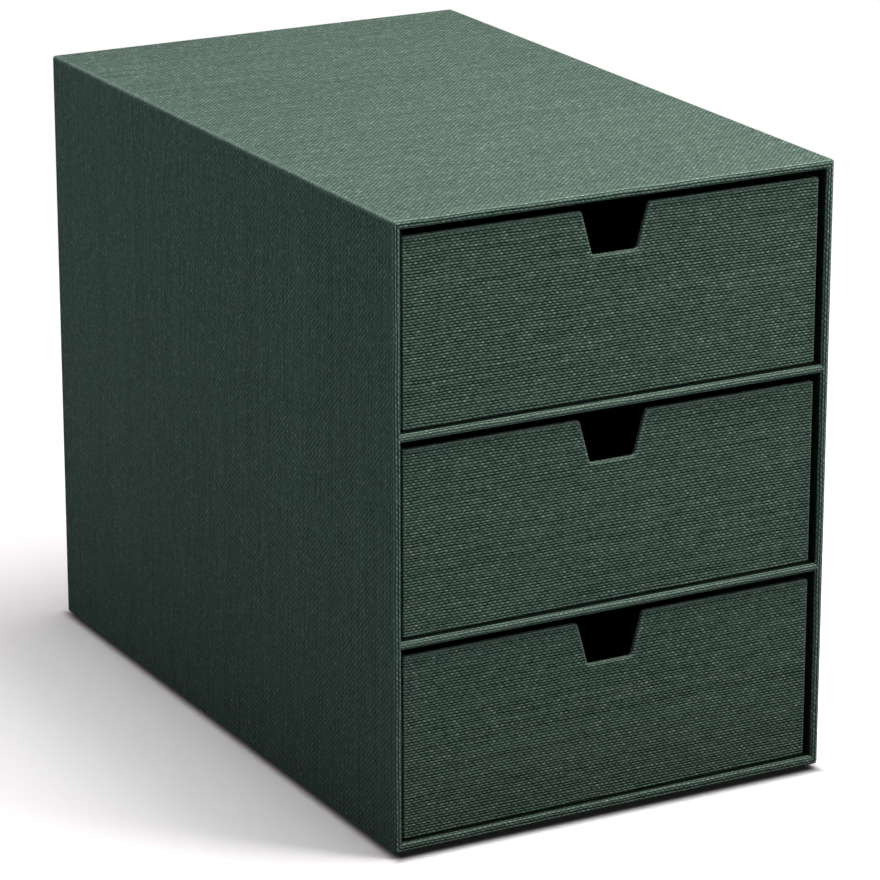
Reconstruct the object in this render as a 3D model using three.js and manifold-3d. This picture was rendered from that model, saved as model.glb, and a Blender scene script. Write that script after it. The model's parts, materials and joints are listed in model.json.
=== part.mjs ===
// A file box: a cloth-covered board case with three open bays, and a tray drawer in each bay.
// Every wall is a board with cloth glued over it, so boards, cloth and lining are separate pieces.
// Millimetres, +Z up. The front faces -Y. The origin is on the table, under the middle of the case.

import * as THREE from 'three';
import { mergeVertices } from 'three/addons/utils/BufferGeometryUtils.js';
import Module from 'manifold-3d';

// Overall sizes
const caseWidth = 230;
const caseDepth = 367;
const bayHeight = 93.8;
const bayNames = ['lower', 'middle', 'upper'];

// Build-up of the walls
const clothThickness = 0.6;
const liningThickness = 0.6;
const caseBoardThickness = 3;
const baseBoardThickness = 3.6;
const drawerBoardThickness = 1.8;

// Edges: cloth bends round an edge, and the board under it is crushed a little more than the cloth follows
const caseBendRadius = 1.6;
const mouthBendRadius = 1;
const drawerBendRadius = 1;
const boardEase = 0.4;
const foldClearance = 0.1;

// Cloth turned in behind an edge
const caseTurnIn = 18;
const caseTurnBack = 15;
const backCoverMargin = 3;
const backCoverCornerRadius = 2;
const drawerTurnIn = 36;
const drawerTurnUnder = 15;

// Room round a closed drawer
const drawerRecess = 3.1;
const drawerSideClearance = 2.2;
const drawerTopClearance = 4.2;
const drawerFloorClearance = 0.4;
const drawerRearClearance = 3;

// Finger notch in a drawer front
const notchDepth = 21.4;
const notchFloorWidth = 23.4;
const notchMouthWidth = 35.3;
const notchFloorRadius = 2;
const notchMouthRadius = 1.7;

// Pads that the case stands on
const padRadius = 8;
const padThickness = 2.2;
const padInset = 18;
const padEdgeRadius = 0.5;

// Fineness of the bends, and how far a cutting solid runs past what it cuts
const bendSteps = 5;
const easeSteps = 1;
const padSides = 40;
const overrun = 5;

// Places that follow from the sizes
const frontY = -caseDepth / 2;
const backY = caseDepth / 2;
const coverBackY = backY - clothThickness;
const boardBackY = coverBackY - clothThickness;
const backBoardFrontY = boardBackY - caseBoardThickness;
const bayBackY = backBoardFrontY - liningThickness;
const turnInEndY = frontY + caseTurnIn;

const boardHalfWidth = caseWidth / 2 - clothThickness;
const sideBoardInnerX = boardHalfWidth - caseBoardThickness;
const bayHalfWidth = sideBoardInnerX - clothThickness;

const shelfThickness = caseBoardThickness + 2 * clothThickness;
const bayPitch = bayHeight + shelfThickness;
const caseLowZ = padThickness;
const boardLowZ = caseLowZ + clothThickness;
const baseBoardTopZ = boardLowZ + baseBoardThickness;
const bayLowZ = baseBoardTopZ + clothThickness;
const bayHighZ = bayLowZ + bayNames.length * bayPitch - shelfThickness;
const topBoardLowZ = bayHighZ + clothThickness;
const boardHighZ = topBoardLowZ + caseBoardThickness;
const caseHighZ = boardHighZ + clothThickness;

const drawerHalfWidth = bayHalfWidth - drawerSideClearance;
const drawerFrontY = frontY + drawerRecess;
const drawerBackY = bayBackY - drawerRearClearance;
const drawerHeight = bayHeight - drawerTopClearance - drawerFloorClearance;
const drawerWall = drawerBoardThickness + 2 * clothThickness;

// Finishes
const clothFinish = { color: 0x3b5147, roughness: 0.92, metalness: 0 };
const liningFinish = { color: 0x1c2622, roughness: 0.95, metalness: 0 };
const boardFinish = { color: 0x8d8a83, roughness: 0.9, metalness: 0 };
const padFinish = { color: 0x1f1f1f, roughness: 0.85, metalness: 0 };

const wasm = await Module();
wasm.setup();

// Turning a loft from its own frame, in which it runs along Z, to the case's X or Y
const alongXBasis = new THREE.Matrix4().makeBasis(
  new THREE.Vector3(0, 1, 0), new THREE.Vector3(0, 0, 1), new THREE.Vector3(1, 0, 0));
const alongYBasis = new THREE.Matrix4().makeBasis(
  new THREE.Vector3(1, 0, 0), new THREE.Vector3(0, 0, 1), new THREE.Vector3(0, -1, 0));

// Solids for joining and cutting, and back to a geometry
function solidOf(geometry) {
  geometry.deleteAttribute('normal');
  geometry.deleteAttribute('uv');
  const merged = mergeVertices(geometry);
  const corners = Array.from(merged.index.array);
  const kept = [];
  for (let i = 0; i < corners.length; i += 3) {
    const [a, b, c] = corners.slice(i, i + 3);
    // A bend that closes to a sharp corner leaves triangles with two corners in one place
    if (a !== b && b !== c && c !== a) kept.push(a, b, c);
  }
  return new wasm.Manifold(new wasm.Mesh({
    numProp: 3,
    vertProperties: new Float32Array(merged.getAttribute('position').array),
    triVerts: new Uint32Array(kept),
  }));
}

function geometryOf(solid) {
  const { vertProperties, triVerts } = solid.getMesh();
  const geometry = new THREE.BufferGeometry();
  geometry.setAttribute('position', new THREE.BufferAttribute(vertProperties, 3));
  geometry.setIndex(new THREE.BufferAttribute(triVerts, 1));
  geometry.computeVertexNormals();
  return geometry;
}

// A closed solid through a stack of sections. outline(grow) lists a section's points anticlockwise,
// pushed outwards by grow, and each station gives the height and the growth of one section.
function loft(outline, stations) {
  const sections = stations.map(({ at, grow }) => outline(grow).map(([x, y]) => [x, y, at]));
  const count = sections[0].length;
  const lastStart = (sections.length - 1) * count;
  const index = [];
  for (let start = 0; start < lastStart; start += count) {
    for (let i = 0; i < count; i += 1) {
      const a = start + i;
      const b = start + (i + 1) % count;
      index.push(a, b, b + count, a, b + count, a + count);
    }
  }
  const capOf = (section) => THREE.ShapeUtils.triangulateShape(
    section.map(([x, y]) => new THREE.Vector2(x, y)), []);
  for (const [a, b, c] of capOf(sections[0])) index.push(a, c, b);
  for (const [a, b, c] of capOf(sections.at(-1))) index.push(lastStart + a, lastStart + b, lastStart + c);
  const geometry = new THREE.BufferGeometry();
  geometry.setAttribute('position', new THREE.Float32BufferAttribute(sections.flat(2), 3));
  geometry.setIndex(index);
  return geometry;
}

function loftAlongX(outline, lowX, highX) {
  const stations = [{ at: lowX, grow: 0 }, { at: highX, grow: 0 }];
  return solidOf(loft(outline, stations).applyMatrix4(alongXBasis));
}

function loftAlongY(outline, stations) {
  const turned = stations.map(({ at, grow }) => ({ at: -at, grow })).reverse();
  return solidOf(loft(outline, turned).applyMatrix4(alongYBasis));
}

// Stations of a quarter bend that starts on an edge and runs inwards from it.
// side -1 draws the section in towards the edge, as outside a box, and 1 opens it out, as at a mouth.
function bend(edge, inwards, radius, steps, side) {
  return Array.from({ length: steps + 1 }, (_, i) => {
    const angle = (i / steps) * (Math.PI / 2);
    return {
      at: edge + inwards * radius * (1 - Math.cos(angle)),
      grow: side * radius * (1 - Math.sin(angle)),
    };
  });
}

function arc([x, y], radius, fromAngle, toAngle, steps) {
  return Array.from({ length: steps + 1 }, (_, i) => {
    const angle = fromAngle + (toAngle - fromAngle) * (i / steps);
    return [x + radius * Math.cos(angle), y + radius * Math.sin(angle)];
  });
}

// Outlines
function rectangle([lowX, lowY], [highX, highY]) {
  return (grow) => [
    [lowX - grow, lowY - grow], [highX + grow, lowY - grow],
    [highX + grow, highY + grow], [lowX - grow, highY + grow],
  ];
}

function roundedRectangle([lowX, lowY], [highX, highY], radius, steps) {
  const centres = [
    [highX - radius, highY - radius], [lowX + radius, highY - radius],
    [lowX + radius, lowY + radius], [highX - radius, lowY + radius],
  ];
  return (grow) => centres.flatMap((centre, i) => (
    arc(centre, radius + grow, i * (Math.PI / 2), (i + 1) * (Math.PI / 2), steps)));
}

// Section of a shelf: flat above, below and behind, with its front edge rounded
function noseOutline([nearY, lowZ], [farY, highZ], radius, steps) {
  return () => [
    [farY, lowZ], [farY, highZ],
    ...arc([nearY + radius, highZ - radius], radius, Math.PI / 2, Math.PI, steps),
    ...arc([nearY + radius, lowZ + radius], radius, Math.PI, 1.5 * Math.PI, steps),
  ];
}

// The finger notch seen from the front: a flat floor, sides that lean outwards, rounded corners at
// the floor, and rounded shoulders that run out level with the drawer's top edge
function notchOutline(grow) {
  const floorZ = drawerHeight - notchDepth;
  const lean = Math.atan2((notchMouthWidth - notchFloorWidth) / 2, notchDepth);
  const cornerX = notchFloorWidth / 2 + (notchFloorRadius * (Math.sin(lean) - 1)) / Math.cos(lean);
  const shoulderRise = (notchDepth - notchMouthRadius) * Math.sin(lean);
  const shoulderX = notchFloorWidth / 2 + (notchMouthRadius + shoulderRise) / Math.cos(lean);
  const corner = arc([cornerX, floorZ + notchFloorRadius], notchFloorRadius + grow,
    -Math.PI / 2, -lean, bendSteps);
  const shoulder = arc([shoulderX, drawerHeight - notchMouthRadius], notchMouthRadius - grow,
    Math.PI - lean, Math.PI / 2, bendSteps);
  const right = [...corner, ...shoulder, [shoulderX, drawerHeight + overrun]];
  const left = right.map(([x, z]) => [-x, z]).reverse();
  return [...right, ...left];
}

// Boxes
function box(low, high) {
  const [lowX, lowY, lowZ] = low;
  const [highX, highY, highZ] = high;
  const stations = [{ at: lowZ, grow: 0 }, { at: highZ, grow: 0 }];
  return solidOf(loft(rectangle([lowX, lowY], [highX, highY]), stations));
}

function easedBox(low, high, radius, steps) {
  const [lowX, lowY, lowZ] = low;
  const [highX, highY, highZ] = high;
  const outline = roundedRectangle([lowX, lowY], [highX, highY], radius, steps);
  const stations = [
    ...bend(lowZ, 1, radius, steps, -1),
    ...bend(highZ, -1, radius, steps, -1).reverse(),
  ];
  return solidOf(loft(outline, stations));
}

// Stations of a cut that starts outside an edge, opened out by the bend there, and narrows past it
function flare(edge, inwards, radius, steps) {
  return [{ at: edge - inwards * overrun, grow: radius }, ...bend(edge, inwards, radius, steps, 1)];
}

// A cut at the front of the case that bends the edge of its mouth outwards, and that runs on to endY
// as the inside of the case, or stops where the bend ends
function caseMouth(halfWidth, lowZ, highZ, edgeY, radius, steps, endY) {
  const stations = flare(edgeY, 1, radius, steps);
  if (endY !== undefined) stations.push({ at: endY, grow: 0 });
  return loftAlongY(rectangle([-halfWidth, lowZ], [halfWidth, highZ]), stations);
}

// The same cut at the top of a drawer, running down to lowZ or stopping where the bend ends
function drawerMouth(inset, edgeZ, radius, steps, lowZ) {
  const stations = flare(edgeZ, -1, radius, steps).reverse();
  if (lowZ !== undefined) stations.unshift({ at: lowZ, grow: 0 });
  return solidOf(loft(rectangle(
    [-drawerHalfWidth + inset, drawerFrontY + inset],
    [drawerHalfWidth - inset, drawerBackY - inset]), stations));
}

// The notch cut through the drawer front between two faces, grown by a layer, its edges bent outwards
function notchCut(nearY, farY, layer, radius, steps) {
  return loftAlongY((grow) => notchOutline(layer + grow), [
    ...flare(nearY, 1, radius, steps),
    ...flare(farY, -1, radius, steps).reverse(),
  ]);
}

function mesh(name, solid, finish) {
  const node = new THREE.Mesh(geometryOf(solid), new THREE.MeshStandardMaterial(finish));
  node.name = name;
  return node;
}

// Case boards: cut from one block with eased edges, the base and top running over the sides' ends
function caseBoards() {
  const block = easedBox([-boardHalfWidth, frontY + clothThickness, boardLowZ],
    [boardHalfWidth, boardBackY, boardHighZ], boardEase, easeSteps);
  const mouthEdge = caseMouth(sideBoardInnerX, baseBoardTopZ, topBoardLowZ,
    frontY + clothThickness, boardEase, easeSteps);
  const wide = caseWidth / 2 + overrun;
  const board = (name, lowX, highX, lowZ, highZ) => mesh(name, block
    .intersect(box([lowX, frontY - overrun, lowZ], [highX, backY + overrun, highZ]))
    .subtract(mouthEdge), boardFinish);
  const backBoard = box([-sideBoardInnerX, backBoardFrontY, baseBoardTopZ],
    [sideBoardInnerX, boardBackY, topBoardLowZ]);
  return [
    board('case_base_board', -wide, wide, -overrun, baseBoardTopZ),
    board('case_top_board', -wide, wide, topBoardLowZ, caseHighZ + overrun),
    board('case_left_board', -wide, -sideBoardInnerX, baseBoardTopZ, topBoardLowZ),
    board('case_right_board', sideBoardInnerX, wide, baseBoardTopZ, topBoardLowZ),
    mesh('case_back_board', backBoard, boardFinish),
  ];
}

// Case cloth: one wrap round the four long sides, turned in at the front and on to the back
function caseCover() {
  const fold = boardEase - foldClearance;
  const outside = easedBox([-caseWidth / 2, frontY, caseLowZ],
    [caseWidth / 2, coverBackY, caseHighZ], caseBendRadius, bendSteps);
  const turnedIn = caseMouth(sideBoardInnerX, baseBoardTopZ, topBoardLowZ,
    frontY + clothThickness, fold, easeSteps, turnInEndY);
  const filling = easedBox([-boardHalfWidth, frontY + clothThickness, boardLowZ],
    [boardHalfWidth, boardBackY, boardHighZ], fold, easeSteps).subtract(turnedIn);
  const mouth = caseMouth(bayHalfWidth, bayLowZ, bayHighZ, frontY,
    mouthBendRadius, bendSteps, turnInEndY + overrun);
  return mesh('case_cover', outside.subtract(filling).subtract(mouth).subtract(backWindow()), clothFinish);
}

// The middle of the back, which the turned cloth leaves open
function backWindow(nearY = boardBackY - overrun, farY = backY + overrun) {
  return box([-caseWidth / 2 + caseTurnBack, nearY, caseLowZ + caseTurnBack],
    [caseWidth / 2 - caseTurnBack, farY, caseHighZ - caseTurnBack]);
}

// Back cloth: over the turned edges, and pressed down on the board between them
function backCover() {
  const outline = roundedRectangle(
    [-caseWidth / 2 + backCoverMargin, caseLowZ + backCoverMargin],
    [caseWidth / 2 - backCoverMargin, caseHighZ - backCoverMargin],
    backCoverCornerRadius, bendSteps);
  const sheet = loftAlongY(outline, [{ at: coverBackY, grow: 0 }, { at: backY, grow: 0 }]);
  const pressed = backWindow(boardBackY, coverBackY + clothThickness / 2);
  return mesh('case_back_cover', sheet.add(pressed), clothFinish);
}

// Lining of the case, from where the turned-in cloth ends to the back
function caseLining() {
  const outside = box([-sideBoardInnerX, turnInEndY, baseBoardTopZ],
    [sideBoardInnerX, backBoardFrontY, topBoardLowZ]);
  const inside = box([-bayHalfWidth, turnInEndY - overrun, bayLowZ],
    [bayHalfWidth, bayBackY, bayHighZ]);
  return mesh('case_lining', outside.subtract(inside), liningFinish);
}

// A shelf: a board glued in between the sides, and the cloth folded round its front edge
function shelf(bayName, lowZ) {
  const highZ = lowZ + shelfThickness;
  const fold = boardEase - foldClearance;
  const core = (ease, past) => loftAlongX(
    noseOutline([frontY + clothThickness, lowZ + clothThickness],
      [bayBackY + past, highZ - clothThickness], ease, easeSteps),
    -bayHalfWidth - past, bayHalfWidth + past);
  const outside = loftAlongX(
    noseOutline([frontY, lowZ], [bayBackY, highZ], caseBendRadius, bendSteps),
    -bayHalfWidth, bayHalfWidth);
  return [
    mesh(`shelf_under_${bayName}_drawer_board`, core(boardEase, 0), boardFinish),
    mesh(`shelf_under_${bayName}_drawer_cover`, outside.subtract(core(fold, overrun)), clothFinish),
  ];
}

// Foot pads: round discs with a softened lower edge
function footPads() {
  const profile = [
    new THREE.Vector2(0, 0),
    ...arc([padRadius - padEdgeRadius, padEdgeRadius], padEdgeRadius, -Math.PI / 2, 0, bendSteps)
      .map(([x, y]) => new THREE.Vector2(x, y)),
    new THREE.Vector2(padRadius, padThickness),
    new THREE.Vector2(0, padThickness),
  ];
  const solid = solidOf(new THREE.LatheGeometry(profile, padSides).rotateX(Math.PI / 2));
  const pads = [];
  for (const [depthName, y] of [['front', frontY + padInset], ['back', backY - padInset]]) {
    for (const [sideName, side] of [['left', -1], ['right', 1]]) {
      const pad = mesh(`foot_pad_${depthName}_${sideName}`, solid, padFinish);
      pad.position.set(side * (caseWidth / 2 - padInset), y, 0);
      pads.push(pad);
    }
  }
  return pads;
}

// Solids of one drawer, in the drawer's own frame with its underside at zero height
function drawerSolids() {
  const wallInset = clothThickness + drawerBoardThickness;
  const boardHalfX = drawerHalfWidth - clothThickness;
  const innerX = drawerHalfWidth - wallInset;
  const faceY = drawerFrontY + clothThickness;
  const innerFaceY = drawerFrontY + wallInset;
  const innerBackY = drawerBackY - wallInset;
  const rimZ = drawerHeight - clothThickness;
  const turnInZ = drawerHeight - drawerTurnIn;
  const fold = boardEase - foldClearance;

  const block = (ease) => easedBox([-boardHalfX, faceY, clothThickness],
    [boardHalfX, drawerBackY - clothThickness, rimZ], ease, easeSteps);
  const notch = (ease) => notchCut(faceY, innerFaceY, clothThickness, ease, easeSteps);
  const rimEdge = drawerMouth(wallInset, rimZ, boardEase, easeSteps);
  const wide = drawerHalfWidth + overrun;
  const board = (low, high) => block(boardEase).intersect(box(low, high)).subtract(rimEdge);

  const filling = block(fold).subtract(notch(fold))
    .subtract(drawerMouth(wallInset, rimZ, fold, easeSteps, turnInZ));
  const sheetLow = [-drawerHalfWidth + drawerTurnUnder, drawerFrontY + drawerTurnUnder];
  const sheetHigh = [drawerHalfWidth - drawerTurnUnder, drawerBackY - drawerTurnUnder];
  const cover = easedBox([-drawerHalfWidth, drawerFrontY, 0],
    [drawerHalfWidth, drawerBackY, drawerHeight], drawerBendRadius, bendSteps)
    .subtract(filling)
    .subtract(drawerMouth(drawerWall, drawerHeight, drawerBendRadius, bendSteps, turnInZ - overrun))
    .subtract(notchCut(drawerFrontY, drawerFrontY + drawerWall, 0, drawerBendRadius, bendSteps))
    .subtract(box([...sheetLow, -overrun], [...sheetHigh, wallInset]));

  const lining = box([-innerX, innerFaceY, wallInset], [innerX, innerBackY, turnInZ])
    .subtract(box([-innerX + liningThickness, innerFaceY + liningThickness, wallInset + liningThickness],
      [innerX - liningThickness, innerBackY - liningThickness, turnInZ + overrun]));

  return {
    base_board: [board([-wide, frontY, -overrun], [wide, backY, wallInset]), boardFinish],
    front_board: [board([-wide, frontY, wallInset], [wide, innerFaceY, bayHeight])
      .subtract(notch(boardEase)), boardFinish],
    back_board: [board([-wide, innerBackY, wallInset], [wide, backY, bayHeight]), boardFinish],
    left_board: [board([-wide, innerFaceY, wallInset], [-innerX, innerBackY, bayHeight]), boardFinish],
    right_board: [board([innerX, innerFaceY, wallInset], [wide, innerBackY, bayHeight]), boardFinish],
    cover: [cover, clothFinish],
    base_sheet: [box([...sheetLow, 0], [...sheetHigh, clothThickness]), liningFinish],
    lining: [lining, liningFinish],
  };
}

// The drawers are alike, so their solids are made once and placed bay by bay
function drawers() {
  const pieces = Object.entries(drawerSolids());
  return bayNames.map((bayName, bay) => {
    const drawer = new THREE.Group();
    drawer.position.z = bayLowZ + bay * bayPitch + drawerFloorClearance;
    for (const [piece, [solid, finish]] of pieces) {
      drawer.add(mesh(`drawer_${bayName}_${piece}`, solid, finish));
    }
    return drawer;
  });
}

function shelves() {
  return bayNames.slice(1).flatMap((bayName, bay) => (
    shelf(bayName, bayLowZ + bay * bayPitch + bayHeight)));
}

const fileBox = new THREE.Group();
fileBox.add(...caseBoards(), caseCover(), backCover(), caseLining());
fileBox.add(...shelves(), ...footPads(), ...drawers());

export default fileBox;
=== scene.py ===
# %% [markdown]
# # A file box covered in book cloth
# The box is a case of grey board with three open bays, and a tray drawer in each bay. Woven cloth
# is glued over all of it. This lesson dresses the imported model: it lays cloth over the boards as
# surfaces worked out with numpy, weaves that cloth in a material, and lights it softly. The packed
# model comes first, because the sizes and places below are read from it.

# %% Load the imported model
import json
import math

import bmesh
import bpy
import numpy as np
from mathutils import Matrix, Vector

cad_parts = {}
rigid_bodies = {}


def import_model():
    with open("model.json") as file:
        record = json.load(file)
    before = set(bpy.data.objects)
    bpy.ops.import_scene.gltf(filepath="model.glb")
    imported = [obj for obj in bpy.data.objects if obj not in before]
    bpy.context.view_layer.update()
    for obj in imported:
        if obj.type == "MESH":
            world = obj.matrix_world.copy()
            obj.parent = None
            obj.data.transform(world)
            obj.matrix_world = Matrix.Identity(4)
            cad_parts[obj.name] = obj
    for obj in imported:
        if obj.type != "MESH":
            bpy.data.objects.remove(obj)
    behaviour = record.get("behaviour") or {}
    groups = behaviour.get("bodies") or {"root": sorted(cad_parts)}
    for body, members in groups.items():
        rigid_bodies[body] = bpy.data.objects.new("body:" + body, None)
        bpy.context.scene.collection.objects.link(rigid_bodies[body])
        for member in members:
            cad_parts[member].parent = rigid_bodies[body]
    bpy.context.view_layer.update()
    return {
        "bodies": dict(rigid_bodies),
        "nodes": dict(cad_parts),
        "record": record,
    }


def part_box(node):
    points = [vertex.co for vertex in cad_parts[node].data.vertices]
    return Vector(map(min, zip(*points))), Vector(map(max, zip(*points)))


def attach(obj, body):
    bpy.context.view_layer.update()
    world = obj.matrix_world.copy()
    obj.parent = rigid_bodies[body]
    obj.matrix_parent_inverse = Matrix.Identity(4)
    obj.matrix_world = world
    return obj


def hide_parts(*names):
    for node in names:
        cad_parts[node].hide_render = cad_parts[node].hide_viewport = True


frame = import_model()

MM = 0.001

# %% [markdown]
# ## Camera
# The box is seen from the left of its front and a little above, through a long lens. The angles
# and the lens were found by fitting the case's long edges in the picture. A camera looks along its
# own -Z with +Y up, so its matrix has right, up and back as its columns.

# %% Camera
CAMERA_AZIMUTH = math.radians(-28.5882)
CAMERA_ELEVATION = math.radians(18.0242)
CAMERA_PLACE = Vector((-0.9658, -1.7880, 0.7923))
LENS_MM = 176.97
SENSOR_MM = 36
FURTHEST_SEEN = 100

back = Vector((
    math.sin(CAMERA_AZIMUTH) * math.cos(CAMERA_ELEVATION),
    -math.cos(CAMERA_AZIMUTH) * math.cos(CAMERA_ELEVATION),
    math.sin(CAMERA_ELEVATION)))
right = Vector((0, 0, 1)).cross(back).normalized()
up = back.cross(right)
camera = bpy.data.objects.new("camera", bpy.data.cameras.new("camera"))
bpy.context.scene.collection.objects.link(camera)
turn = Matrix((right, up, back)).transposed().to_4x4()
camera.matrix_world = Matrix.Translation(CAMERA_PLACE) @ turn
camera.data.lens = LENS_MM
camera.data.sensor_width = SENSOR_MM
camera.data.clip_end = FURTHEST_SEEN
bpy.context.scene.camera = camera
print("camera looks along", tuple(round(-part, 3) for part in back))

# %% [markdown]
# ## A pattern as a sum
# Woven cloth is a formula: which thread is on top, how high it stands, how light it is. A material
# is a net of nodes, and a formula of twenty steps is hard to read there. `Wire` stands for one
# number on its way through that net, so the formula can be written in Python as a sum, and each
# step of the sum makes its node.

# %% Nodes and wires
def feed(tree, node, inputs):
    """Feeds a node's inputs, given in order or by name. Wires and sockets are linked, and numbers
    and colours are set."""
    for key, value in inputs.items() if isinstance(inputs, dict) else enumerate(inputs):
        if isinstance(value, Wire):
            value = value.socket
        if isinstance(value, bpy.types.NodeSocket):
            tree.links.new(value, node.inputs[key])
        else:
            node.inputs[key].default_value = (*value, 1.0) if isinstance(value, tuple) else value


def new_node(tree, kind, inputs=(), **settings):
    """A new node with its settings made and its inputs fed."""
    node = tree.nodes.new(kind)
    for setting, value in settings.items():
        setattr(node, setting, value)
    feed(tree, node, inputs)
    return node


class Wire:
    """One number on its way through a material's nodes. Sums with it make the math nodes."""

    def __init__(self, tree, socket):
        self.tree, self.socket = tree, socket

    def do(self, operation, *others):
        """What a math node makes of the number and the others."""
        node = new_node(self.tree, "ShaderNodeMath", (self, *others), operation=operation)
        return Wire(self.tree, node.outputs[0])

    def __add__(self, other):
        return self.do("ADD", other)

    def __sub__(self, other):
        return self.do("SUBTRACT", other)

    def __mul__(self, other):
        return self.do("MULTIPLY", other)

    def __rsub__(self, other):
        return self.do("MULTIPLY_ADD", -1.0, other)

    def held(self, low, high):
        """The number, kept between low and high."""
        return self.do("MAXIMUM", low).do("MINIMUM", high)

    def ramp(self, low, high, out_low=0.0, out_high=1.0):
        """Runs smoothly from out_low to out_high while the number runs from low to high."""
        node = new_node(
            self.tree, "ShaderNodeMapRange", (self, low, high, out_low, out_high),
            interpolation_type="SMOOTHSTEP")
        return Wire(self.tree, node.outputs[0])


print("wires ready")


# %% Textures and mixes
def coordinates(tree, vector):
    """The three numbers of a vector."""
    parts = new_node(tree, "ShaderNodeSeparateXYZ", (vector,))
    return [Wire(tree, socket) for socket in parts.outputs]


def object_coordinates(tree):
    """The three numbers of a place in the object's own frame."""
    return coordinates(tree, new_node(tree, "ShaderNodeTexCoord").outputs["Object"])


def joined_wires(x, y, z):
    """Three numbers joined to a vector, for a texture to read."""
    return new_node(x.tree, "ShaderNodeCombineXYZ", (x, y, z)).outputs[0]


def noise(x, y, z, detail=1.0):
    """Smooth noise from about -1 to 1, read at three numbers."""
    node = new_node(
        x.tree, "ShaderNodeTexNoise",
        {"Scale": 1.0, "Detail": detail, "Vector": joined_wires(x, y, z)})
    return (Wire(x.tree, node.outputs["Fac"]) - 0.5) * 2.0


def chance(x, y, z):
    """A random number from 0 to 1 that is the same wherever the three numbers are the same."""
    node = new_node(
        x.tree, "ShaderNodeTexWhiteNoise", {"Vector": joined_wires(x, y, z)},
        noise_dimensions="3D")
    return Wire(x.tree, node.outputs["Value"])


def mixed(share, first, second):
    """A colour between two, where each is a colour or another mix."""
    inputs = {0: share, 6: first, 7: second}
    return new_node(share.tree, "ShaderNodeMix", inputs, data_type="RGBA").outputs[2]


def new_material(name):
    """A material with its net of nodes and its shader."""
    material = bpy.data.materials.new(name)
    material.use_nodes = True
    return material, material.node_tree, material.node_tree.nodes["Principled BSDF"]


def raise_surface(tree, shader, height, relief):
    """Bumps the shader's surface by relief metres for each 1 of height."""
    bump = new_node(tree, "ShaderNodeBump", {"Distance": relief, "Height": height})
    feed(tree, shader, {"Normal": bump.outputs[0]})


print("textures ready")

# %% [markdown]
# ## Book cloth
# The cloth is a plain weave of thick, uneven threads. Each weft thread, which runs along U, passes
# over one warp thread and under the next, and its neighbour does the opposite. The weft is the
# thicker yarn, so it shows as rows of beads, and the thin warp only as short bars between them.
# The UV map holds metres of cloth, so dividing it by the pitch counts the threads. Whole numbers
# of threads name a crossing, and the part after the point says where in the crossing a point lies.
#
# Threads wander, keep uneven distances and slip along each other. That is smooth noise on the
# counts: how fast it changes for each thread across and along, its seed, and its size in threads.
# A thread's section is the root of 1 less a steepness times the square of the distance from its
# middle, so a steeper section is a thinner thread.

# %% Weave
WARP_PITCH = 1.31 * MM
WEFT_PITCH = 1.37 * MM
WANDER = (0.05, 0.12, 0.0, 0.45)
SPACING = (0.012, 1.1, 7.0, 0.2)
SLIP = (0.3, 0.9, 3.0, 0.5)
SWELL_ACROSS, SWELL_ALONG, SWELL_SEED = 0.45, 3.7, 5.0
FIBRE_ACROSS, FIBRE_ALONG, FIBRE_SEED, FIBRE_DETAIL = 2.6, 5.0, 11.0, 2.0
TONE_SEED = 3.0
WEFT_STEEPNESS, SWELL_STEEPNESS, WARP_STEEPNESS = 6.2, 1.5, 6.5
WEFT_RISE, WEFT_WAVE, WEFT_BASE = 0.68, 0.18, 0.1
WARP_RISE, WARP_WAVE, WARP_BASE = 0.4, 0.28, -0.12
FIBRE_RISE = 0.08
CROSSING_BLEND = 0.08


def uneven(kind, across, along, seed):
    """One kind of unevenness of the threads, in threads: the noise at its rates, times its size."""
    rate_across, rate_along, own_seed, size = kind
    return noise(across * rate_across, along * rate_along, seed + own_seed) * size


def weave(tree, seed):
    """Height of the cloth, chance of the crossing, swell, fibre and thread tone at each point.

    A thread's height is the round top of its section plus a wave along it: up at every other
    crossing and down between. The higher of the two threads is what shows.
    """
    u, v, _ = coordinates(tree, new_node(tree, "ShaderNodeUVMap", uv_map="cloth").outputs[0])
    across = u * (1 / WARP_PITCH) + seed
    along = v * (1 / WEFT_PITCH) + seed

    rows = along + uneven(WANDER, across, along, seed) + uneven(SPACING, across, along, seed)
    columns = across + uneven(SLIP, across, along, seed)
    row, column = rows.do("FLOOR"), columns.do("FLOOR")
    in_row = rows.do("FRACT") - 0.5
    in_column = columns.do("FRACT") - 0.5

    weft_wave = ((columns + row - 0.5) * math.pi).do("COSINE")
    warp_wave = ((rows + column - 0.5) * math.pi).do("COSINE")
    swell = noise(across * SWELL_ACROSS, row * SWELL_ALONG, seed + SWELL_SEED)
    weft_steepness = WEFT_STEEPNESS - swell * SWELL_STEEPNESS
    weft = (1.0 - in_row * in_row * weft_steepness).do("MAXIMUM", 0.0).do("SQRT")
    warp = (1.0 - in_column * in_column * WARP_STEEPNESS).do("MAXIMUM", 0.0).do("SQRT")
    weft_height = weft * WEFT_RISE + weft_wave * WEFT_WAVE + WEFT_BASE
    warp_height = warp * WARP_RISE - warp_wave * WARP_WAVE + WARP_BASE
    fibre = noise(
        across * FIBRE_ACROSS, along * FIBRE_ALONG, seed + FIBRE_SEED, detail=FIBRE_DETAIL)
    height = weft_height.do("SMOOTH_MAX", warp_height, CROSSING_BLEND) + fibre * FIBRE_RISE
    crossing = chance(row, ((column + row) * 0.5).do("FLOOR"), seed)
    return height, crossing, swell, fibre, chance(row, TONE_SEED + seed, 0.0)


print(f"a weft thread every {WEFT_PITCH / MM:.2f} mm, a warp thread every {WARP_PITCH / MM:.2f} mm")

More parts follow.
